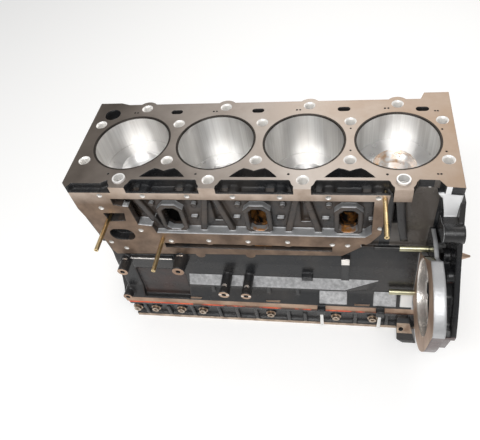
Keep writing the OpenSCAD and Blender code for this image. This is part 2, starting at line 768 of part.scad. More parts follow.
module piston_circlips() {
    color([0.3, 0.3, 0.32])
        for (i = [1 : cyl_n])
            for (side = [-1, 1])
                difference() {
                    ring_x(bore_x(i) + side * (gudgeon_half + 1.2) - circlip_t / 2,
                        bore_x(i) + side * (gudgeon_half + 1.2) + circlip_t / 2,
                        0, wrist_z(i), gudgeon_r + 1.1, gudgeon_r - 1.8);
                    translate([bore_x(i) + side * gudgeon_half - 5, -2.5, wrist_z(i) - 25]) cube([10, 5, 12]);
                }
}

// places a rod drawn with its big end at the origin and its small end at +Z
module at_rod(i) {
    translate([bore_x(i), pin_y(i), pin_z(i)]) rotate([rod_tilt(i), 0, 0]) children();
}

rod_w = pin_len - 2 * side_gap;

module big_end(z0, z1) {
    intersection() {
        union() {
            bar_x(-rod_w / 2, rod_w / 2, 0, 0, big_end_r);
            box(-rod_w / 2, rod_w / 2, -big_end_half, big_end_half, -big_end_step, big_end_step);
        }
        box(-rod_w, rod_w, -60, 60, z0, z1);
    }
}

module con_rod(i) {
    color([0.3, 0.3, 0.31])
        at_rod(i)
            difference() {
                union() {
                    big_end(0, 60);
                    along_x(-shank_t / 2, shank_t / 2)
                        polygon([[-22, 34], [22, 34], [16, rod_len - 20], [-16, rod_len - 20]]);
                    bar_x(-small_end_w / 2, small_end_w / 2, 0, rod_len, small_end_r);
                }
                for (side = [-1, 1])
                    along_x(side > 0 ? 4 : -shank_t / 2 - e, side > 0 ? shank_t / 2 + e : -4)
                        polygon([[-13, 50], [13, 50], [9, rod_len - 34], [-9, rod_len - 34]]);
                bar_x(-rod_w, rod_w, 0, 0, big_bore_r);
                bar_x(-rod_w, rod_w, 0, rod_len, gudgeon_r + oil_gap);
                for (side = [-1, 1])
                    bar_z(-e, big_end_step + 8, 0, side * rod_bolt_y, rod_bolt_r + fit_gap);
            }
}

module rod_cap(i) {
    color([0.3, 0.3, 0.31])
        at_rod(i)
            difference() {
                big_end(-60, 0);
                bar_x(-rod_w, rod_w, 0, 0, big_bore_r);
                for (side = [-1, 1])
                    bar_z(-big_end_step - e, e, 0, side * rod_bolt_y, rod_bolt_r + fit_gap);
                for (side = [-1, 1])
                    bar_z(-big_end_step - 10, -big_end_step + 3, 0, side * rod_bolt_y, 6.5);
            }
}

module hex_z(z0, z1, x, y, r) {
    translate([x, y, z0]) cylinder(r = r, h = z1 - z0, $fn = 6);
}

module rod_bolts() {
    color([0.25, 0.25, 0.26])
        for (i = [1 : cyl_n])
            at_rod(i)
                for (side = [-1, 1]) {
                    bar_z(-big_end_step + 3 - 1, big_end_step + 6, 0, side * rod_bolt_y, rod_bolt_r);
                    hex_z(-big_end_step - 3, -big_end_step + 3, 0, side * rod_bolt_y, 6.3);
                }
}

module rod_shell_pair(z0, z1) {
    for (i = [1 : cyl_n])
        at_rod(i)
            intersection() {
                ring_x(-15, 15, 0, 0, big_bore_r, pin_r + oil_gap);
                box(-20, 20, -60, 60, z0, z1);
            }
}

module rod_shells_upper() {
    color([0.72, 0.7, 0.66]) rod_shell_pair(0, 60);
}

module rod_shells_lower() {
    color([0.72, 0.7, 0.66]) rod_shell_pair(-60, 0);
}

// crankshaft and bearings
module crank_web(i, x0) {
    a = throw_deg(i);
    translate([x0, 0, 0])
        rotate([-a, 0, 0])
            rotate([90, 0, 90])
                linear_extrude(height = web_t) {
                    circle(r = 46);
                    translate([0, crank_r]) circle(r = 40);
                    polygon([[-44, 0], [44, 0], [38, crank_r], [-38, crank_r]]);
                    intersection() {
                        circle(r = counter_r);
                        polygon([
                            [0, 30], [100 * sin(counter_half_deg), -100 * cos(counter_half_deg)],
                            [-100 * sin(counter_half_deg), -100 * cos(counter_half_deg)]
                        ]);
                    }
                }
}

module crankshaft() {
    color([0.42, 0.42, 0.43])
        difference() {
            union() {
                for (k = [1 : cyl_n + 1])
                    bar_x(k == 1 ? front_x + 5.6 : main_x(k) - 18, k == 5 ? -flange_t + e : main_x(k) + 18, 0, 0, journal_r);
                for (i = [1 : cyl_n]) {
                    bar_x(bore_x(i) - pin_len / 2 - e, bore_x(i) + pin_len / 2 + e, pin_y(i), pin_z(i), pin_r);
                    crank_web(i, bore_x(i) - pin_len / 2 - web_t);
                    crank_web(i, bore_x(i) + pin_len / 2);
                }
                bar_x(-flange_t, 0, 0, 0, flange_r);
                bar_x(nose_end_x, main_x(1), 0, 0, nose_r);
                bar_x(front_x - 6, main_x(1), 0, 0, front_seal_r);
            }
            for (n = [0 : flange_holes - 1])
                rotate([360 / flange_holes * n, 0, 0]) bar_x(-flange_t + 1, e, 0, flange_pcd / 2, 5);
            bar_x(-12, e, 0, 0, 17.5);
            bar_x(nose_end_x - e, nose_end_x + 15, 0, 0, 9);
            for (i = [1 : cyl_n])
                bar_x(bore_x(i) - pin_len / 2 - web_t - e, bore_x(i) + pin_len / 2 + web_t + e, pin_y(i), pin_z(i), 8);
        }
}

module main_shells(z0, z1) {
    for (k = [1 : cyl_n + 1])
        intersection() {
            ring_x(main_x(k) - main_shell_len / 2, main_x(k) + main_shell_len / 2, 0, 0, tunnel_r, journal_r + oil_gap);
            box(main_x(k) - 20, main_x(k) + 20, -60, 60, z0, z1);
        }
}

module main_shells_upper() {
    color([0.72, 0.7, 0.66]) main_shells(0, 60);
}

module main_shells_lower() {
    color([0.72, 0.7, 0.66]) main_shells(-60, 0);
}

washer_gap = (bore_pitch - pin_len - 2 * web_t - main_w) / 2;
module thrust_washers() {
    color([0.72, 0.7, 0.66])
        for (side = [-1, 1])
            intersection() {
                ring_x(main_x(3) + (side > 0 ? main_w / 2 : -main_w / 2 - washer_gap + fit_gap),
                    main_x(3) + (side > 0 ? main_w / 2 + washer_gap - fit_gap : -main_w / 2),
                    0, 0, 50, journal_r + 1);
                box(main_x(3) - 40, main_x(3) + 40, -60, 60, 0, 60);
            }
}

// fasteners, studs and seals
module main_bolts() {
    color([0.16, 0.16, 0.17])
        for (k = [1 : cyl_n + 1])
            for (side = [-1, 1]) {
                bar_z(bed_foot + 13, 62, main_x(k), side * main_bolt_y, main_bolt_d / 2);
                hex_z(bed_foot + 2, bed_foot + 14, main_x(k), side * main_bolt_y, 11.5);
            }
}

module bedplate_side_bolts() {
    color([0.45, 0.4, 0.33])
        for (x = side_boss_xs)
            for (side = [-1, 1])
                difference() {
                    union() {
                        side_bar(side, rail_half - 14, rail_half - 0.5, x, side_bolt_z, side_bolt_r);
                        side_bar(side, rail_half - 1, rail_half + 4, x, side_bolt_z, 6.5);
                    }
                    side_bar(side, rail_half + 1, rail_half + 5, x, side_bolt_z, 3.2, $fn = 6);
                }
}

module rail_bolts() {
    color([0.2, 0.2, 0.21])
        for (x = rail_bolt_xs)
            for (side = [-1, 1]) {
                bar_z(-10, 12, x, side * rail_bolt_y, rail_bolt_d / 2);
                hex_z(-13, -9, x, side * rail_bolt_y, 5.4);
            }
}

module rail_studs() {
    color([0.7, 0.7, 0.68])
        for (x = rail_stud_xs)
            bar_z(bed_foot + 14, 12, x, -rail_stud_y, rail_stud_r);
}

module head_dowels() {
    color([0.75, 0.75, 0.74])
        for (i = [1, 4])
            difference() {
                bar_z(deck_top - dowel_ring_depth, deck_top + dowel_ring_proud, lobe_x(i), -lobe_y, dowel_ring_r);
                bar_z(deck_top - dowel_ring_depth - e, deck_top + dowel_ring_proud + e, lobe_x(i), -lobe_y, head_hole_d / 2 + 0.4);
            }
}

module cover_studs() {
    color([0.78, 0.6, 0.28])
        for (p = brass_studs)
            difference() {
                bar_y(-cover_face + stud_depth, -cover_face - p[2], p[0], down(p[1]), stud_d / 2);
                bar_y(-cover_face - p[2] + 6, -cover_face - p[2] - e, p[0], down(p[1]), 1.6);
            }
}

module starter_studs() {
    color([0.72, 0.7, 0.5]) {
        bar_x(ear_x0 - starter_stud_len, ear_x0 + starter_stud_grip, starter_stud_at[0], starter_stud_at[1], starter_stud_r);
        ring_x(web_face_x - sleeve_len, web_face_x, wire_stud_at[0], wire_stud_at[1],
            starter_stud_r, wire_stud_r + fit_gap / 2);
    }
}

module starter_wire_stud() {
    color([0.5, 0.52, 0.54])
        bar_x(web_face_x - wire_stud_len, web_face_x + wire_stud_grip,
            wire_stud_at[0], wire_stud_at[1], wire_stud_r);
}

module rear_dowels() {
    color([0.62, 0.48, 0.36])
        for (side = [-1, 1])
            translate([rear_face_x, side * dowel_y, dowel_z])
                rotate([0, 90, 0])
                    rotate_extrude()
                        polygon([
                            [0, -dowel_grip], [dowel_r, -dowel_grip], [dowel_r, 9], [5, 11], [1.5, 22], [0, 22]
                        ]);
}

module core_plugs() {
    color([0.55, 0.52, 0.45])
        for (k = [2 : 4])
            difference() {
                bar_y(bank_back - 1, bank_back - 4, main_x(k), core_z, core_r - fit_gap / 2);
                bar_y(bank_back + e, bank_back - 3, main_x(k), core_z, core_r - 3);
            }
}

module gallery_plugs() {
    color([0.4, 0.4, 0.4])
        for (x = [front_x, rear_face_x - 12])
            difference() {
                bar_x(x, x + 12, gallery_y, gallery_z, gallery_r - fit_gap / 2);
                translate([x == front_x ? x - e : x + 7, gallery_y, gallery_z])
                    rotate([0, 90, 0]) cylinder(r = 4, h = 6, $fn = 6);
            }
}

module front_oil_seal() {
    color([0.08, 0.08, 0.08])
        ring_x(front_x + 0.3, front_x + 5.3, 0, 0, tunnel_r, front_seal_r);
}

retainer_t = 10;
module rear_oil_seal() {
    color([0.35, 0.16, 0.1])
        ring_x(rear_face_x + 1, rear_face_x + retainer_t, 0, 0, seal_r, flange_r);
}

module seal_retainer() {
    color([0.55, 0.56, 0.57])
        difference() {
            along_x(rear_face_x, rear_face_x + retainer_t)
                polygon([
                    [-72, -57.6], [72, -57.6], [84, -46], [84, 72], [72, 84], [-72, 84], [-84, 72], [-84, -46]
                ]);
            bar_x(rear_face_x - e, rear_face_x + retainer_t + e, 0, 0, seal_r);
            for (p = retainer_holes)
                bar_x(rear_face_x - e, rear_face_x + retainer_t + e, p[0], p[1], retainer_bolt_r + fit_gap);
        }
}

module retainer_bolts() {
    color([0.3, 0.3, 0.31])
        for (p = retainer_holes) {
            bar_x(rear_face_x - 12, rear_face_x + retainer_t + 1, p[0], p[1], retainer_bolt_r);
            translate([rear_face_x + retainer_t, p[0], p[1]])
                rotate([0, 90, 0]) cylinder(r = 5.6, h = 4, $fn = 6);
        }
}

cylinder_block();
bedplate();
bedplate_sealant();
liner(1);  // liner_1
liner(2);  // liner_2
liner(3);  // liner_3
liner(4);  // liner_4
piston(1);  // piston_1
piston(2);  // piston_2
piston(3);  // piston_3
piston(4);  // piston_4
piston_rings(1);  // piston_rings_1
piston_rings(2);  // piston_rings_2
piston_rings(3);  // piston_rings_3
piston_rings(4);  // piston_rings_4
gudgeon_pin(1);  // gudgeon_pin_1
gudgeon_pin(2);  // gudgeon_pin_2
gudgeon_pin(3);  // gudgeon_pin_3
gudgeon_pin(4);  // gudgeon_pin_4
piston_circlips();
con_rod(1);  // con_rod_1
con_rod(2);  // con_rod_2
con_rod(3);  // con_rod_3
con_rod(4);  // con_rod_4
rod_cap(1);  // rod_cap_1
rod_cap(2);  // rod_cap_2
rod_cap(3);  // rod_cap_3
rod_cap(4);  // rod_cap_4
rod_bolts();
rod_shells_upper();
rod_shells_lower();
crankshaft();
main_shells_upper();
main_shells_lower();
thrust_washers();
main_bolts();
bedplate_side_bolts();
rail_bolts();
rail_studs();
head_dowels();
cover_studs();
starter_studs();
starter_wire_stud();
rear_dowels();
core_plugs();
gallery_plugs();
front_oil_seal();
rear_oil_seal();
seal_retainer();
retainer_bolts();
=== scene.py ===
"""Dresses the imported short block: camera, light, floor and procedural materials."""

import math

import bpy
from mathutils import Matrix, Vector

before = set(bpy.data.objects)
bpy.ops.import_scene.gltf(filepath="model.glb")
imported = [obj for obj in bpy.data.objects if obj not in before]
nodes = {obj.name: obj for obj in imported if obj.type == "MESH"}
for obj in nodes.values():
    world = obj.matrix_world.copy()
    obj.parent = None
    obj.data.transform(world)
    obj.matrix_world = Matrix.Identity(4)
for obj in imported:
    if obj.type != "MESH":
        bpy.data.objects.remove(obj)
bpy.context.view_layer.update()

# main sizes of the part and places of its features, metres
DECK_Z = 0.292
FOOT_Z = -0.058
PITCH = 0.133
BORE_X = [-0.499, -0.366, -0.233, -0.100]
MAIN_X = -0.5655
LOBE_X = BORE_X[0] + 0.0035
COVER_Y = -0.097
RAIL_Y = -0.116
FRONT_X = -0.582
REAR_X = -0.014
EAR_X = -0.058
EAR_BACK_X = -0.042
# starter bore: y, z and radius
STARTER = (-0.159, 0.130, 0.057)
# threaded holes of the side cover face below its top row: x, z
COVER_HOLES = [
    (-0.446, 0.168), (-0.383, 0.171), (-0.320, 0.171), (-0.258, 0.172), (-0.190, 0.168),
    (-0.167, 0.167), (-0.144, 0.168), (-0.122, 0.210), (-0.489, 0.194), (-0.535, 0.247),
    (-0.551, 0.161), (-0.530, 0.145),
]
# silver (a painted highlight) and white tops of the boxes on the rail: middle and half length along x
RAIL_BOXES = [(-0.189, 0.0235), (-0.1025, 0.019)]
WHITE_PAD = (-0.067, 0.0105)

# places of the other features of the block, metres
BANK_Y = -0.080
PANEL_Y = -0.091
BOSS_Y = -0.1215
LOBE_Y = 0.080
INNER_HOLE_Y = 0.041
MIDDLE_X = -0.2995
END_HOLE_REACH = 0.264
HEAD_HOLE_R = 0.0070
HEAD_CHAMFER_R = 0.0102
COVER_HOLE_R = 0.0040
COVER_ROW = (-0.128, 0.275)
# how far a painted or machined surface may lie from the plane of its mask
ON_PLANE = 0.0006
# shading radius of cast edges and of machined edges
CAST_EDGE = 0.0055
CUT_EDGE = 0.0008
PAINT_SPECULAR = 0.42
# radius of the piston bowl, and the turning marks on its crown in radians per metre
BOWL_R = 0.0345
TURNING_MARKS = 7000.0
# half the floor's side, its own light as seen, and the strength of the pale world
FLOOR_HALF = 6.0
FLOOR_GLOW = 0.34
WORLD_STRENGTH = 0.40


# material graphs
class Graph:
    """A small builder for one node material."""

    def __init__(self, name):
        self.mat = bpy.data.materials.new(name)
        self.mat.use_nodes = True
        self.tree = self.mat.node_tree
        self.bsdf = self.tree.nodes["Principled BSDF"]
        self.coord = self.add("ShaderNodeTexCoord").outputs["Object"]
        split = self.add("ShaderNodeSeparateXYZ", Vector=self.coord)
        self.x, self.y, self.z = split.outputs
        geo = self.add("ShaderNodeNewGeometry")
        nsplit = self.add("ShaderNodeSeparateXYZ", Vector=geo.outputs["True Normal"])
        self.nx, self.ny, self.nz = nsplit.outputs

    def put(self, socket, value):
        if isinstance(value, bpy.types.NodeSocket):
            self.tree.links.new(value, socket)
        elif isinstance(value, (tuple, list)) and len(value) == 3 and socket.type == "RGBA":
            socket.default_value = (*value, 1.0)
        else:
            socket.default_value = value

    def add(self, kind, setup=None, **inputs):
        node = self.tree.nodes.new(kind)
        for key, value in (setup or {}).items():
            setattr(node, key, value)
        for key, value in inputs.items():
            self.put(node.inputs[key.replace("_", " ")], value)
        return node

    def math(self, op, a, b=0.0, c=0.0, clamp=False):
        node = self.tree.nodes.new("ShaderNodeMath")
        node.operation = op
        node.use_clamp = clamp
        for socket, value in zip(node.inputs, (a, b, c)):
            self.put(socket, value)
        return node.outputs[0]

    def near(self, a, target, span):
        return self.math("COMPARE", a, target, span)

    def above(self, a, level):
        return self.math("GREATER_THAN", a, level)

    def below(self, a, level):
        return self.math("LESS_THAN", a, level)

    def all(self, *masks):
        out = masks[0]
        for mask in masks[1:]:
            out = self.math("MULTIPLY", out, mask)
        return out

    def any(self, *masks):
        out = masks[0]
        for mask in masks[1:]:
            out = self.math("MAXIMUM", out, mask)
        return out

    def wrap(self, a, start, step):
        """Distance along the axis to the nearest of a row of places."""
        shifted = self.math("ADD", self.math("SUBTRACT", a, start), step * 50.5)
        return self.math("SUBTRACT", self.math("MODULO", shifted, step), step / 2)

    def far(self, a, b):
        """Length of the flat vector a, b."""
        total = self.math("ADD", self.math("MULTIPLY", a, a), self.math("MULTIPLY", b, b))
        return self.math("SQRT", total)

    def noise(self, scale, detail=3.0, rough=0.55, stretch=None, seed=0.0):
        vec = self.coord
        if stretch or seed:
            m = self.add("ShaderNodeMapping", Vector=vec)
            m.inputs["Scale"].default_value = stretch or (1, 1, 1)
            m.inputs["Location"].default_value = (seed, seed * 0.7, -seed)
            vec = m.outputs[0]
        n = self.add("ShaderNodeTexNoise", Vector=vec, Scale=scale, Detail=detail, Roughness=rough)
        return n.outputs["Fac"]

    def between(self, a, lo, hi):
        return self.near(a, (lo + hi) / 2, (hi - lo) / 2)

    def span(self, value, lo, hi, out_lo=0.0, out_hi=1.0):
        node = self.add("ShaderNodeMapRange", {"clamp": True}, Value=value)
        for key, v in (("From Min", lo), ("From Max", hi), ("To Min", out_lo), ("To Max", out_hi)):
            node.inputs[key].default_value = v
        return node.outputs[0]

    def mix(self, fac, a, b):
        node = self.add("ShaderNodeMix", {"data_type": "RGBA"})
        self.put(node.inputs["Factor"], fac)
        self.put(node.inputs[6], a)
        self.put(node.inputs[7], b)
        return node.outputs[2]

    def blend(self, fac, a, b):
        node = self.add("ShaderNodeMix", {"data_type": "FLOAT"})
        self.put(node.inputs["Factor"], fac)
        self.put(node.inputs[2], a)
        self.put(node.inputs[3], b)
        return node.outputs[0]

    def bump(self, height, strength, distance, normal=None):
        node = self.add("ShaderNodeBump", Height=height, Strength=strength, Distance=distance)
        if normal is not None:
            self.put(node.inputs["Normal"], normal)
        return node.outputs[0]

    def soft_edges(self, radius):
        return self.add("ShaderNodeBevel", {"samples": 6}, Radius=radius).outputs[0]

    def surface(self, **inputs):
        for key, value in inputs.items():
            self.put(self.bsdf.inputs[key.replace("_", " ")], value)
        return self.mat


def wear(g, base, light, scale=18.0, seed=0.0):
    """Two tones of one finish, mottled."""
    spread = g.span(g.noise(scale, 5.0, 0.62, seed=seed), 0.35, 0.68)
    return g.mix(spread, base, light)


def paint_colour(g):
    """Black gloss paint, warmer and duller in patches."""
    patch = g.span(g.noise(14.0, 5.0, 0.6), 0.42, 0.68)
    fleck = g.span(g.noise(420.0, 3.0, 0.6), 0.62, 0.78)
    tone = g.mix(patch, (0.014, 0.0145, 0.016), (0.034, 0.0305, 0.028))
    return g.mix(fleck, tone, (0.060, 0.060, 0.062))


def cast_skin(g):
    """Sand-cast roughness under the paint."""
    fine = g.math("MULTIPLY", g.noise(430.0, 5.0, 0.62), 0.6)
    return g.math("ADD", fine, g.math("MULTIPLY", g.noise(85.0, 3.0), 0.8))


def cast_normal(g, height, bare):
    """Bumps, with round cast edges and sharper machined ones."""
    return g.bump(height, 0.32, 0.0012, g.soft_edges(g.blend(bare, CAST_EDGE, CUT_EDGE)))


def block_faces(g):
    """Masks of the bare machined faces."""
    up = g.above(g.nz, 0.9)
    side = g.below(g.ny, -0.9)
    deck = g.all(g.near(g.z, DECK_Z, ON_PLANE), up)
    cover = g.all(g.near(g.y, COVER_Y, 0.0005), side, g.above(g.x, -0.5745), g.above(g.z, 0.123))
    bosses = g.all(g.below(g.y, BOSS_Y), side, g.below(g.x, -0.30))
    lug_tops = g.all(g.near(g.z, 0.020, ON_PLANE), up)
    lugs = g.all(lug_tops, g.below(g.y, COVER_Y), g.above(g.y, RAIL_Y - 0.0005))
    rail = g.all(g.near(g.y, RAIL_Y, 0.0005), side, g.below(g.z, 0.0145))
    ends = g.any(
        g.all(g.near(g.x, FRONT_X, ON_PLANE), g.below(g.nx, -0.9)),
        g.all(g.near(g.x, REAR_X, ON_PLANE), g.above(g.nx, 0.9)),
    )
    ear = g.all(g.near(g.x, EAR_X, ON_PLANE), g.below(g.nx, -0.9))
    foot = g.all(g.below(g.z, ON_PLANE), g.below(g.nz, -0.9))
    return deck, cover, g.any(bosses, lugs, rail), g.any(ends, ear, foot)


def hole_wall_glints(g):
    """Threads and chamfers of the bolt holes, bare machined metal that the block colours near-white as a
    painted glint.
    """
    size = {axis: g.math("ABSOLUTE", socket) for axis, socket in (("y", g.y), ("ny", g.ny), ("nz", g.nz))}
    lobes = g.far(g.wrap(g.x, LOBE_X, PITCH), g.math("SUBTRACT", size["y"], LOBE_Y))
    inner_gap = g.math("SUBTRACT", size["y"], INNER_HOLE_Y)
    from_middle = g.math("ABSOLUTE", g.math("SUBTRACT", g.x, MIDDLE_X))
    # the end pairs stand closer in than the pitch, so the regular row stops before them
    row = g.math("ADD", g.far(g.wrap(g.x, MAIN_X, PITCH), inner_gap), g.above(from_middle, 0.200))
    ends = g.far(g.math("SUBTRACT", from_middle, END_HOLE_REACH), inner_gap)
    head = g.math("MINIMUM", g.math("MINIMUM", row, lobes), ends)
    chamfers = g.all(
        g.below(head, HEAD_CHAMFER_R), g.above(g.z, DECK_Z - 0.0025), g.below(size["nz"], 0.97)
    )
    walls = g.all(g.near(head, HEAD_HOLE_R, 0.0006), g.above(g.z, 0.266), g.below(size["nz"], 0.5))
    cover = g.far(g.wrap(g.x, COVER_ROW[0], PITCH / 2), g.math("SUBTRACT", g.z, COVER_ROW[1]))
    for x, z in COVER_HOLES:
        cover = g.math("MINIMUM", cover, g.far(g.math("SUBTRACT", g.x, x), g.math("SUBTRACT", g.z, z)))
    cover = g.all(
        g.near(cover, COVER_HOLE_R, 0.0003), g.below(size["ny"], 0.9), g.between(g.y, -0.0975, -0.076)
    )
    return g.any(chamfers, walls, cover)


def ear_masks(g):
    """The starter bore, and the lit rim and dark underside of the ear round it."""
    ring = g.far(g.math("SUBTRACT", g.y, STARTER[0]), g.math("SUBTRACT", g.z, STARTER[1]))
    flat_x = g.below(g.math("ABSOLUTE", g.nx), 0.5)
    bore = g.all(g.near(ring, STARTER[2], 0.0012), g.below(g.x, EAR_BACK_X + 0.0005), flat_x)
    in_ear = g.between(g.x, EAR_X - 0.0005, EAR_BACK_X + 0.0005)
    rim = g.all(in_ear, flat_x, g.above(ring, 0.0600), g.below(g.y, -0.0885), g.above(g.nz, -0.02))
    low = g.all(g.above(g.x, EAR_X - 0.0005), g.below(g.y, -0.120), g.below(g.z, 0.1775))
    return bore, rim, g.all(g.below(g.nz, -0.02), low)


def wall_highlight_masks(g):
    """Places of the cast wall coloured light: panel, ledge, rail boxes and sill as painted highlight on
    the black paint, and the white pad.
    """
    panel = g.all(g.near(g.y, PANEL_Y, ON_PLANE), g.below(g.ny, -0.9))
    panel = g.all(panel, g.above(g.x, -0.053), g.above(g.z, 0.205))
    sloped = g.all(g.above(g.nz, 0.3), g.below(g.ny, -0.4))
    ledge = g.all(sloped, g.between(g.z, 0.0615, 0.083), g.between(g.x, -0.438, -0.115))
    ledge = g.all(ledge, g.below(g.y, -0.0965))
    tops = g.all(sloped, g.between(g.z, 0.019, 0.0485), g.below(g.y, -0.1035))
    boxes = g.all(tops, g.any(*[g.near(g.x, x, half) for x, half in RAIL_BOXES]))
    white = g.all(tops, g.near(g.x, *WHITE_PAD))
    sill = g.all(g.above(g.nz, 0.6), g.between(g.y, -0.0975, -0.079))
    sill = g.all(sill, g.between(g.z, 0.180, 0.262), g.between(g.x, -0.50, -0.13))
    return panel, ledge, boxes, white, sill


def port_rust(g):
    """Rust in the bottom of the two right-hand water ports."""
    port = g.math("ABSOLUTE", g.wrap(g.x, MAIN_X, PITCH))
    tunnel = g.all(g.below(port, 0.0139), g.between(g.y, -0.0895, -0.0725))
    behind = g.all(g.below(port, 0.030), g.between(g.y, -0.0725, -0.040))
    low = g.all(g.any(tunnel, behind), g.between(g.z, 0.145, 0.194), g.between(g.x, -0.34, -0.12))
    return g.all(low, g.span(g.noise(60.0, 4.0, 0.6, seed=5.0), 0.44, 0.60))


def face_tones(g, grime):
    """Colours of the deck, the side cover face and the bare pads, with painted sheen on the deck and the
    cover's top rail.
    """
    left = g.mix(grime, (0.104, 0.086, 0.072), (0.184, 0.156, 0.134))
    middle_sheen = g.mix(grime, (0.40, 0.345, 0.305), (0.58, 0.525, 0.480))
    right = g.mix(grime, (0.29, 0.210, 0.150), (0.42, 0.340, 0.280))
    # painted sheen: the deck runs from dark at the front end to light in the middle; the right end's brown
    # is an oil tint
    deck = g.mix(g.span(g.x, -0.56, -0.22), left, middle_sheen)
    deck = g.mix(g.span(g.math("ADD", g.x, g.math("MULTIPLY", g.y, 0.3)), -0.26, -0.02), deck, right)
    rusty = g.span(g.noise(26.0, 5.0, 0.62, seed=3.1), 0.36, 0.66)
    low = g.mix(rusty, (0.125, 0.086, 0.062), (0.26, 0.182, 0.130))
    high = g.mix(rusty, (0.42, 0.330, 0.265), (0.60, 0.500, 0.425))
    # painted reflection: the cover face is lighter towards its top rail
    cover = g.mix(g.span(g.z, 0.255, 0.280), low, high)
    pads = g.mix(rusty, (0.33, 0.215, 0.150), (0.54, 0.390, 0.285))
    return deck, cover, pads


def block_paint(g):
    """Black paint with the brown cavity, the red-brown recess and a painted sheen on the scoop wall by the
    ear.
    """
    colour = paint_colour(g)
    cavity = g.all(g.between(g.y, -0.0965, -0.060), g.between(g.x, -0.52, -0.12))
    cavity = g.all(cavity, g.between(g.z, 0.150, 0.275))
    cavity = g.all(cavity, g.span(g.noise(30.0, 4.0, 0.6, seed=1.7), 0.30, 0.60))
    colour = g.mix(cavity, colour, (0.055, 0.0400, 0.0310))
    recess = g.all(g.between(g.x, -0.534, -0.444), g.between(g.z, 0.016, 0.095), g.below(g.ny, -0.5))
    recess = g.all(recess, g.span(g.noise(24.0, 4.0), 0.35, 0.6))
    colour = g.mix(recess, colour, (0.042, 0.024, 0.020))
    # painted sheen: the black-painted scoop wall by the ear is lightened to warm grey
    scoop_sheen = g.all(g.near(g.y, BANK_Y, 0.0012), g.between(g.x, -0.104, -0.046), g.above(g.z, 0.132))
    return g.mix(scoop_sheen, colour, (0.09, 0.078, 0.068))


def block_material():
    g = Graph("cast_block")
    deck, cover, pads, ends = block_faces(g)
    hole_glints = hole_wall_glints(g)
    starter, rim, under = ear_masks(g)
    panel, ledge, boxes, white, sill = wall_highlight_masks(g)
    painted_highlight = g.any(rim, panel, ledge, boxes)
    bare = g.any(deck, cover, pads, ends)
    polished = g.any(starter, hole_glints)

    grime = g.span(g.noise(9.0, 6.0, 0.6), 0.38, 0.66)
    grain = g.span(g.noise(900.0, 4.0, 0.65), 0.30, 0.70)
    mottle = g.span(g.noise(150.0, 5.0, 0.7, seed=4.2), 0.36, 0.66)
    deck_tone_and_sheen, cover_tone_and_sheen, pad_tone = face_tones(g, grime)
    layers = (
        # painted highlight: rim, panel, ledge and rail boxes are black paint coloured grey to near-white
        # as painted highlight and reflection
        (painted_highlight, g.mix(grain, (0.40, 0.403, 0.41), (0.54, 0.543, 0.55))),
        (g.any(ledge, boxes), g.mix(mottle, (0.34, 0.34, 0.345), (0.60, 0.60, 0.605))),
        (panel, (0.88, 0.88, 0.885)),
        # painted highlight along the up-facing sill of the cavity
        (sill, g.mix(grain, (0.28, 0.283, 0.288), (0.50, 0.503, 0.51))),
        (under, g.mix(grain, (0.034, 0.014, 0.012), (0.11, 0.042, 0.034))),
        (white, (0.86, 0.85, 0.83)),
        (deck, deck_tone_and_sheen),
        (cover, cover_tone_and_sheen),
        (g.any(pads, ends), pad_tone),
        (port_rust(g), g.mix(grain, (0.24, 0.065, 0.016), (0.74, 0.36, 0.10))),
        (starter, g.mix(grime, (0.84, 0.79, 0.74), (0.94, 0.90, 0.86))),
        # painted glints: the machined hole walls and chamfers are coloured near-white
        (hole_glints, (0.88, 0.86, 0.83)),
    )
    colour = block_paint(g)
    for mask, tone in layers:
        colour = g.mix(mask, colour, tone)

    scratch = g.span(g.noise(420.0, 4.0, 0.7, stretch=(0.12, 1.0, 1.0)), 0.2, 0.8)
    gloss = g.span(g.noise(35.0, 4.0), 0.3, 0.7, 0.17, 0.30)
    rough = g.blend(bare, gloss, g.span(grime, 0.0, 1.0, 0.44, 0.56))
    rough = g.blend(g.any(painted_highlight, sill), rough, 0.38)
    rough = g.blend(polished, rough, 0.27)
    height = g.blend(g.any(bare, polished), cast_skin(g), g.math("MULTIPLY", scratch, 0.08))
    metal = g.blend(bare, g.blend(g.any(painted_highlight, sill), 0.0, g.blend(panel, 0.6, 0.1)), 0.80)
    metal = g.blend(starter, g.blend(hole_glints, metal, 0.35), 0.85)
    return g.surface(
        Base_Color=colour, Metallic=metal, Roughness=rough, Normal=cast_normal(g, height, bare),
        Specular_IOR_Level=PAINT_SPECULAR,
    )


def bed_material():
    g = Graph("cast_bedplate")
    side = g.below(g.ny, -0.9)
    pads = g.all(g.below(g.y, -0.1145), side, g.above(g.z, -0.034), g.below(g.z, -0.014))
    lip = g.all(g.near(g.y, -0.114, ON_PLANE), side, g.below(g.z, -0.049))
    foot = g.all(g.below(g.z, FOOT_Z + ON_PLANE), g.below(g.nz, -0.9))
    rear = g.all(g.near(g.x, REAR_X, ON_PLANE), g.above(g.nx, 0.9))
    bare = g.any(pads, lip, foot, rear)
    tone = wear(g, (0.26, 0.175, 0.125), (0.60, 0.48, 0.37), 60.0)
    gloss = g.span(g.noise(35.0, 4.0), 0.3, 0.7, 0.20, 0.36)
    return g.surface(
        Base_Color=g.mix(bare, paint_colour(g), tone),
        Metallic=g.blend(bare, 0.0, 0.8),
        Roughness=g.blend(bare, gloss, 0.42),
        Normal=cast_normal(g, g.blend(bare, cast_skin(g), 0.5), bare),
        Specular_IOR_Level=PAINT_SPECULAR,
    )


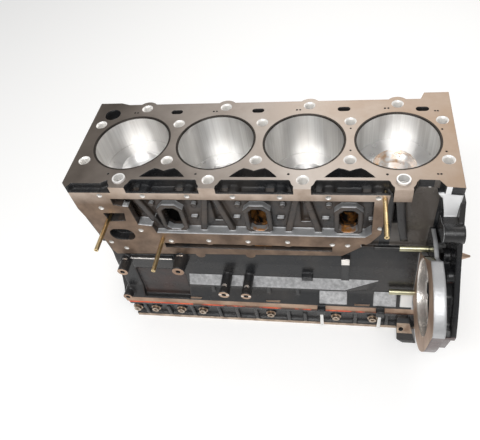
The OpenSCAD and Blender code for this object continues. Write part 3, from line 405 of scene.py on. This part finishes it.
def liner_material():
    g = Graph("honed_liner")
    lip = g.above(g.z, DECK_Z - 0.0018)
    streaks = g.noise(260.0, 3.0, 0.6, stretch=(1.0, 1.0, 0.02))
    stain = g.span(g.noise(20.0, 4.0, 0.55, stretch=(1.0, 1.0, 0.3), seed=1.0), 0.45, 0.75)
    tone = g.mix(g.span(streaks, 0.35, 0.65), (0.68, 0.67, 0.655), (0.80, 0.795, 0.78))
    tone = g.mix(g.math("MULTIPLY", stain, 0.5), tone, (0.58, 0.535, 0.49))
    colour = g.mix(lip, tone, (0.055, 0.048, 0.043))
    upright = g.add("ShaderNodeCombineXYZ", X=0.0, Y=0.0, Z=1.0).outputs[0]
    return g.surface(
        Base_Color=colour, Metallic=1.0, Roughness=g.blend(lip, 0.44, 0.5), Anisotropic=0.85,
        Tangent=upright, Normal=g.bump(streaks, 0.05, 0.0003),
    )


def piston_material(index):
    g = Graph("piston_%d" % (index + 1))
    radial = g.far(g.math("SUBTRACT", g.x, BORE_X[index]), g.y)
    turned = g.math("SINE", g.math("MULTIPLY", radial, TURNING_MARKS))
    tone = wear(g, (0.88, 0.87, 0.86), (0.95, 0.945, 0.94), 22.0, index * 2.3)
    colour = tone
    if index == len(BORE_X) - 1:
        # oil left in the bowl of the last piston
        drops = g.span(g.noise(60.0, 4.0, 0.6), 0.46, 0.70)
        wet = g.all(g.below(radial, BOWL_R), drops, g.below(g.nz, 0.98))
        colour = g.mix(wet, tone, (0.62, 0.36, 0.16))
    rough = g.span(g.noise(40.0, 3.0), 0.3, 0.7, 0.26, 0.36)
    normal = g.bump(turned, 0.12, 0.0003)
    return g.surface(Base_Color=colour, Metallic=1.0, Roughness=rough, Normal=normal)


def plain_metal(name, low, high, rough, metallic=1.0, scale=40.0, bump=0.15):
    g = Graph(name)
    spread = g.noise(scale, 5.0, 0.6)
    colour = g.mix(g.span(spread, 0.3, 0.7), low, high)
    r = g.span(spread, 0.3, 0.7, rough - 0.06, rough + 0.08)
    normal = g.bump(g.noise(600.0, 3.0), bump, 0.0004, g.soft_edges(0.0006))
    return g.surface(Base_Color=colour, Metallic=metallic, Roughness=r, Normal=normal)


def sealant_material():
    g = Graph("red_sealant")
    red = g.mix(g.span(g.noise(55.0, 4.0), 0.35, 0.65), (0.66, 0.060, 0.020), (0.88, 0.15, 0.050))
    oiled = g.all(g.above(g.x, -0.445), g.span(g.noise(22.0, 4.0, 0.6, seed=2.0), 0.42, 0.52))
    colour = g.mix(oiled, red, (0.085, 0.040, 0.024))
    return g.surface(Base_Color=colour, Roughness=0.42, Normal=g.bump(g.noise(240.0, 4.0), 0.5, 0.001))


def dress():
    looks = {
        "cylinder_block": block_material(),
        "bedplate": bed_material(),
        "bedplate_sealant": sealant_material(),
    }
    liner = liner_material()
    dark_steel = plain_metal("dark_steel", (0.035, 0.035, 0.036), (0.09, 0.088, 0.085), 0.42)
    forged = plain_metal("forged_steel", (0.10, 0.10, 0.10), (0.17, 0.165, 0.16), 0.48, bump=0.4)
    ground = plain_metal("ground_steel", (0.42, 0.42, 0.42), (0.56, 0.555, 0.55), 0.24)
    bright = plain_metal("bright_steel", (0.74, 0.735, 0.72), (0.88, 0.875, 0.86), 0.22)
    dowel = plain_metal("dowel_steel", (0.80, 0.79, 0.775), (0.92, 0.915, 0.90), 0.42, metallic=0.5)
    brass = plain_metal("brass_plate", (0.66, 0.48, 0.22), (0.86, 0.70, 0.42), 0.30)
    zinc = plain_metal("yellow_zinc", (0.40, 0.38, 0.24), (0.60, 0.58, 0.42), 0.34)
    shell = plain_metal("bearing_shell", (0.45, 0.43, 0.40), (0.58, 0.56, 0.53), 0.3)
    pad = plain_metal("weathered_pad", (0.32, 0.245, 0.18), (0.60, 0.51, 0.42), 0.4)
    copper = plain_metal("copper_tip", (0.36, 0.24, 0.17), (0.56, 0.42, 0.33), 0.36)
    alloy = plain_metal("cast_alloy", (0.34, 0.34, 0.35), (0.46, 0.46, 0.47), 0.42, bump=0.5)
    rubber = plain_metal("black_rubber", (0.012, 0.012, 0.012), (0.03, 0.03, 0.03), 0.55, metallic=0.0)
    brown = plain_metal("brown_rubber", (0.09, 0.04, 0.022), (0.16, 0.075, 0.045), 0.5, metallic=0.0)
    for i in range(4):
        looks["liner_%d" % (i + 1)] = liner
        looks["piston_%d" % (i + 1)] = piston_material(i)
        looks["piston_rings_%d" % (i + 1)] = dark_steel
        looks["gudgeon_pin_%d" % (i + 1)] = ground
        looks["con_rod_%d" % (i + 1)] = forged
        looks["rod_cap_%d" % (i + 1)] = forged
    looks.update(
        piston_circlips=dark_steel, rod_bolts=dark_steel, main_bolts=dark_steel, rail_bolts=dark_steel,
        retainer_bolts=dark_steel, rod_shells_upper=shell, rod_shells_lower=shell, main_shells_upper=shell,
        main_shells_lower=shell, thrust_washers=shell, crankshaft=ground, bedplate_side_bolts=pad,
        rail_studs=bright, head_dowels=dowel, cover_studs=brass, starter_studs=zinc,
        starter_wire_stud=dark_steel, rear_dowels=copper, core_plugs=zinc, gallery_plugs=dark_steel,
        front_oil_seal=rubber, rear_oil_seal=brown, seal_retainer=alloy,
    )
    for name, obj in nodes.items():
        obj.data.materials.clear()
        obj.data.materials.append(looks[name])


def build_camera():
    data = bpy.data.cameras.new("photo_camera")
    data.sensor_width = 36.0
    data.lens = 36.82
    data.shift_x = -0.04875
    data.shift_y = 0.01375
    data.clip_end = 20.0
    camera = bpy.data.objects.new("photo_camera", data)
    yaw, pitch, roll = (math.radians(v) for v in (-14.94, 50.76, -10.53))
    ahead = math.cos(pitch)
    forward = Vector((math.sin(yaw) * ahead, math.cos(yaw) * ahead, -math.sin(pitch)))
    level = Vector((math.cos(yaw), -math.sin(yaw), 0.0))
    up = level.cross(forward)
    right = math.cos(roll) * level + math.sin(roll) * up
    top = -math.sin(roll) * level + math.cos(roll) * up
    matrix = Matrix((right, top, -forward)).transposed().to_4x4()
    matrix.translation = Vector((-0.1721, -0.5434, 0.7753))
    camera.matrix_world = matrix
    bpy.context.collection.objects.link(camera)
    bpy.context.scene.camera = camera


def area_light(name, place, target, size, energy, colour=(1, 1, 1), size_y=None):
    data = bpy.data.lights.new(name, "AREA")
    data.energy = energy
    data.color = colour
    data.shape = "RECTANGLE"
    data.size = size
    data.size_y = size_y or size
    light = bpy.data.objects.new(name, data)
    direction = Vector(target) - Vector(place)
    light.rotation_euler = direction.to_track_quat("-Z", "Y").to_euler()
    light.location = place
    bpy.context.collection.objects.link(light)


def floor_material():
    """Pale floor, a little brighter to camera, glossy and transmission rays than its light."""
    g = Graph("floor")
    path = g.add("ShaderNodeLightPath")
    seen = g.any(*[path.outputs["Is %s Ray" % kind] for kind in ("Camera", "Glossy", "Transmission")])
    return g.surface(
        Base_Color=(0.70, 0.70, 0.695), Roughness=0.6, Emission_Color=(1.0, 1.0, 1.0),
        Emission_Strength=g.math("MULTIPLY", seen, FLOOR_GLOW),
    )


def build_stage():
    mesh = bpy.data.meshes.new("floor")
    corners = [(-1, -1), (1, -1), (1, 1), (-1, 1)]
    mesh.from_pydata([(x * FLOOR_HALF, y * FLOOR_HALF, 0) for x, y in corners], [], [(0, 1, 2, 3)])
    floor = bpy.data.objects.new("floor", mesh)
    floor.location = (-0.3, 0.0, FOOT_Z - 0.0003)
    bpy.context.collection.objects.link(floor)
    mesh.materials.append(floor_material())

    world = bpy.data.worlds.new("studio")
    world.use_nodes = True
    bpy.context.scene.world = world
    background = world.node_tree.nodes["Background"]
    background.inputs["Color"].default_value = (1, 1, 1, 1)
    background.inputs["Strength"].default_value = WORLD_STRENGTH


# dress the part, then the camera, floor, world and three plain lamps
dress()
build_camera()
build_stage()
area_light("softbox", (-0.25, -0.85, 1.40), (-0.30, -0.05, 0.15), 1.2, 16, size_y=0.55)
area_light("key", (-1.1, -0.9, 1.4), (-0.3, 0, 0.15), 0.30, 4)
area_light("back", (0.02, 1.20, 1.22), (-0.28, 0, 0.2), 1.7, 10, (1.0, 0.97, 0.93), size_y=0.6)
bpy.context.scene.view_settings.view_transform = "Standard"
